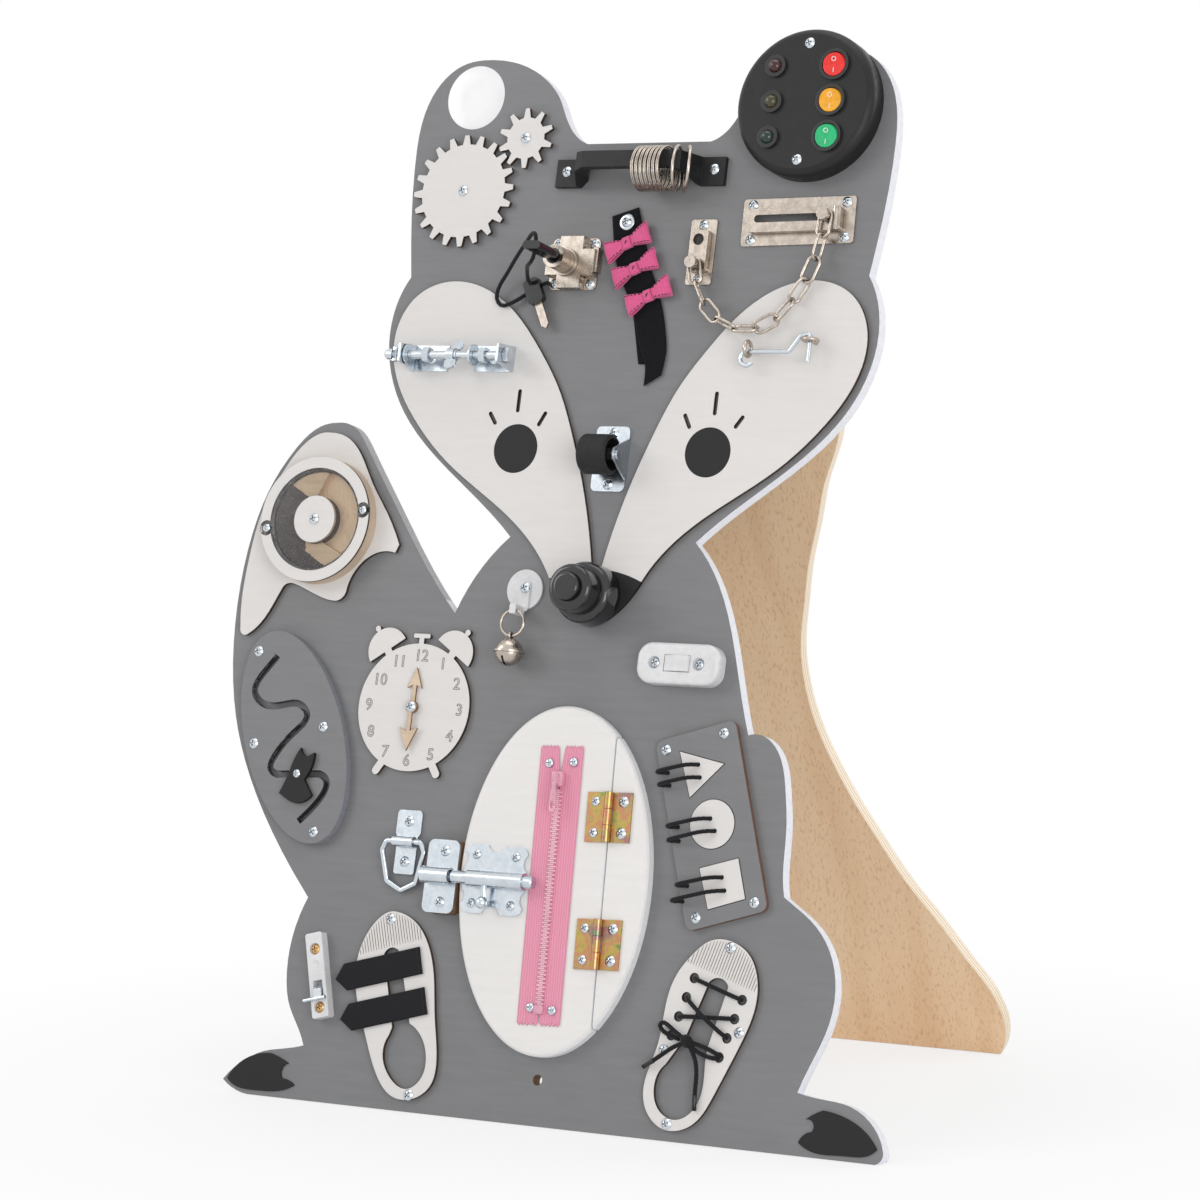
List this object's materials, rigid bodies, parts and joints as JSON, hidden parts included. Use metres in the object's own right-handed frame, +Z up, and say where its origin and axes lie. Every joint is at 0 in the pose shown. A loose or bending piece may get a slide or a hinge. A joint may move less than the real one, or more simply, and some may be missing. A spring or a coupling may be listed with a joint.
{
  "type": "busy board",
  "caption": "Free-standing fox-shaped wooden busy board on a folding rear leg, with a hinged door, bolt, lock, gears, switches, sliders, straps and laces.",
  "frame": {"origin": "middle of the main panel's sole, where it stands on the floor", "axes": "+Z up, -Y out of the board's front, +X to the right as seen from the front"},
  "size_m": [0.5691, 0.4181, 0.7592],
  "materials": {
    "gray_ply": "satin",
    "black_ply": "satin",
    "white_ply": "matte",
    "birch_ply": "satin",
    "zinc_steel": "bright",
    "nickel_steel": "satin",
    "black_coated_metal": "satin",
    "black_plastic": "gloss",
    "red_plastic": "gloss",
    "amber_plastic": "gloss",
    "green_plastic": "gloss",
    "black_fabric": "woven",
    "black_rubber": "matte",
    "white_plastic": "gloss",
    "white_paint": "satin",
    "yellow_zinc": "satin",
    "pink_fabric": "woven",
    "pink_plastic": "gloss"
  },
  "bodies": {
    "board": {"main_board": "gray_ply", "black_patches": "black_ply", "white_masks": "white_ply", "clock_face": "white_ply", "shoe_panels": "white_ply", "maze_panel": "gray_ply", "shape_panel": "gray_ply", "board_screws": "zinc_steel", "pull_handle": "black_coated_metal", "light_box": "black_plastic", "chain_plates": "nickel_steel", "chain_links": "nickel_steel", "bow_ribbon": "black_fabric", "lock_body": "nickel_steel", "key_cord": "black_fabric", "spare_key": "black_plastic", "bolt_rack": "zinc_steel", "caster_bracket": "zinc_steel", "knob_base": "black_plastic", "bell_mount": "nickel_steel", "lamp_switch_body": "white_plastic", "dring_plate": "zinc_steel", "bolt_keeper": "zinc_steel", "door_segment": "white_paint", "fixed_leaves": "yellow_zinc", "shape_cords": "black_fabric", "shoe_lace": "black_fabric", "catch_plate": "white_plastic"},
    "leg": {"stand_panel": "birch_ply"},
    "rings": {"split_rings": "nickel_steel"},
    "red_rocker": {"rocker_red": "red_plastic"},
    "amber_rocker": {"rocker_amber": "amber_plastic"},
    "green_rocker": {"rocker_green": "green_plastic"},
    "track_knob": {"chain_knob": "nickel_steel"},
    "hook": {"gate_hook": "zinc_steel"},
    "key": {"lock_key": "black_plastic"},
    "wing": {"wing_nut": "zinc_steel"},
    "caster": {"caster_wheel": "black_rubber"},
    "button": {"nose_button": "black_plastic"},
    "bell_swinging": {"bell": "nickel_steel"},
    "lamp": {"lamp_rocker": "white_plastic"},
    "seed_wheel": {"sand_wheel": "white_paint"},
    "maze_piece": {"maze_slider": "black_ply"},
    "long_hand": {"minute_hand": "birch_ply"},
    "short_hand": {"hour_hand": "birch_ply"},
    "ring_flap": {"d_ring": "zinc_steel"},
    "door": {"door_panel": "white_paint", "door_leaves": "yellow_zinc", "zipper_tape": "pink_fabric", "bolt_guide": "zinc_steel"},
    "bolt": {"bolt_rod": "zinc_steel"},
    "zip_slider": {"zipper_slider": "pink_plastic"},
    "triangle": {"shape_triangle": "white_ply"},
    "circle": {"shape_circle": "white_ply"},
    "square": {"shape_square": "white_ply"},
    "upper_strap": {"strap_upper": "black_fabric"},
    "lower_strap": {"strap_lower": "black_fabric"},
    "catch": {"catch_lever": "nickel_steel"},
    "big_gear": {"gear_big": "white_ply"},
    "small_gear": {"gear_small": "white_ply"}
  },
  "joints": [
    {"name": "stand_fold", "type": "hinge", "parent": "board", "child": "leg", "pos_m": [0, 0.17052, 0.64671], "axis": [-1, 0, 0], "range_deg": [0, 33]},
    {"name": "door_swing", "type": "hinge", "parent": "board", "child": "door", "pos_m": [0.03898, 0.02422, 0.16989], "axis": [-0.0349, 0.2418, 0.9697], "range_deg": [0, 110]},
    {"name": "bolt_slide", "type": "slide", "parent": "door", "child": "bolt", "axis": [1, 0, 0], "range_m": [-0.0085, 0.016]},
    {"name": "zipper_slide", "type": "slide", "parent": "door", "child": "zip_slider", "axis": [0.0349, -0.2418, -0.9697], "range_m": [0, 0.145]},
    {"name": "gear_big_spin", "type": "hinge", "parent": "board", "child": "big_gear", "pos_m": [-0.148, 0.15378, 0.64985], "axis": [0, -0.9703, 0.2419], "continuous": true},
    {"name": "gear_small_spin", "type": "hinge", "parent": "board", "child": "small_gear", "pos_m": [-0.10042, 0.16317, 0.68751], "axis": [0, -0.9703, 0.2419], "continuous": true},
    {"name": "minute_turn", "type": "hinge", "parent": "board", "child": "long_hand", "pos_m": [-0.1363, 0.05943, 0.27968], "axis": [0, -0.9703, 0.2419], "continuous": true},
    {"name": "hour_turn", "type": "hinge", "parent": "board", "child": "short_hand", "pos_m": [-0.1363, 0.0604, 0.27944], "axis": [0, -0.9703, 0.2419], "continuous": true},
    {"name": "caster_roll", "type": "hinge", "parent": "board", "child": "caster", "pos_m": [0, 0.09205, 0.46221], "axis": [1, 0, 0], "continuous": true},
    {"name": "seed_wheel_spin", "type": "hinge", "parent": "board", "child": "seed_wheel", "pos_m": [-0.234, 0.08869, 0.40946], "axis": [0, -0.9703, 0.2419], "continuous": true},
    {"name": "red_rocker_tilt", "type": "hinge", "parent": "board", "child": "red_rocker", "pos_m": [0.1505, 0.15972, 0.7336], "axis": [1, 0, 0], "range_deg": [-16, 0]},
    {"name": "amber_rocker_tilt", "type": "hinge", "parent": "board", "child": "amber_rocker", "pos_m": [0.1505, 0.1535, 0.70867], "axis": [1, 0, 0], "range_deg": [-16, 0]},
    {"name": "green_rocker_tilt", "type": "hinge", "parent": "board", "child": "green_rocker", "pos_m": [0.1505, 0.14728, 0.68373], "axis": [1, 0, 0], "range_deg": [-16, 0]},
    {"name": "lamp_rocker_tilt", "type": "hinge", "parent": "board", "child": "lamp", "pos_m": [0.0775, 0.06517, 0.31927], "axis": [0, 0.2419, 0.9703], "range_deg": [0, 12]},
    {"name": "nose_push", "type": "slide", "parent": "board", "child": "button", "axis": [0, 0.9703, -0.2419], "range_m": [0, 0.003], "stiffness_N_per_m": 300},
    {"name": "key_turn", "type": "hinge", "parent": "board", "child": "key", "pos_m": [-0.0513, 0.11416, 0.60253], "axis": [0, -0.9703, 0.2419], "range_deg": [0, 90], "deforming": ["key_cord"]},
    {"name": "d_ring_swing", "type": "hinge", "parent": "board", "child": "ring_flap", "pos_m": [-0.1283, 0.0348, 0.18586], "axis": [-1, 0, 0], "range_deg": [0, 100]},
    {"name": "bell_swing", "type": "hinge", "parent": "board", "child": "bell_swinging", "pos_m": [-0.057, 0.06703, 0.34241], "axis": [0, -0.9703, 0.2419], "range_deg": [-30, 30]},
    {"name": "maze_slide", "type": "slide", "parent": "board", "child": "maze_piece", "axis": [0.9981, 0.0148, 0.0592], "range_m": [-0.014, 0.01]},
    {"name": "triangle_lift", "type": "slide", "parent": "board", "child": "triangle", "axis": [0, -0.9703, 0.2419], "range_m": [0, 0.012], "deforming": ["shape_cords"]},
    {"name": "circle_lift", "type": "slide", "parent": "board", "child": "circle", "axis": [0, -0.9703, 0.2419], "range_m": [0, 0.012]},
    {"name": "square_lift", "type": "slide", "parent": "board", "child": "square", "axis": [0, -0.9703, 0.2419], "range_m": [0, 0.012]},
    {"name": "hook_lift", "type": "hinge", "parent": "board", "child": "hook", "pos_m": [0.1048, 0.115, 0.53152], "axis": [0, -0.9703, 0.2419], "range_deg": [0, 21]},
    {"name": "upper_strap_fold", "type": "hinge", "parent": "board", "child": "upper_strap", "pos_m": [-0.1032, 0.01753, 0.10462], "axis": [-0.2672, 0.2331, 0.935], "range_deg": [0, 95]},
    {"name": "lower_strap_fold", "type": "hinge", "parent": "board", "child": "lower_strap", "pos_m": [-0.0948, 0.01076, 0.07745], "axis": [-0.2672, 0.2331, 0.935], "range_deg": [0, 95]},
    {"name": "catch_lift", "type": "hinge", "parent": "board", "child": "catch", "pos_m": [-0.18379, 0.01014, 0.07954], "axis": [-0.969, -0.0598, -0.2397], "range_deg": [0, 65]},
    {"name": "rings_slide", "type": "slide", "parent": "board", "child": "rings", "axis": [-1, 0, 0], "range_m": [0, 0.034]},
    {"name": "wing_nut_spin", "type": "hinge", "parent": "board", "child": "wing", "pos_m": [-0.132, 0.10971, 0.53098], "axis": [1, 0, 0], "continuous": true},
    {"name": "chain_knob_slide", "type": "slide", "parent": "board", "child": "track_knob", "axis": [-0.9997, -0.0055, -0.022], "range_m": [0, 0.052], "deforming": ["chain_links"]}
  ],
  "couplings": [
    {"joint": "gear_small_spin", "follows": "gear_big_spin", "ratio": -2}
  ]
}
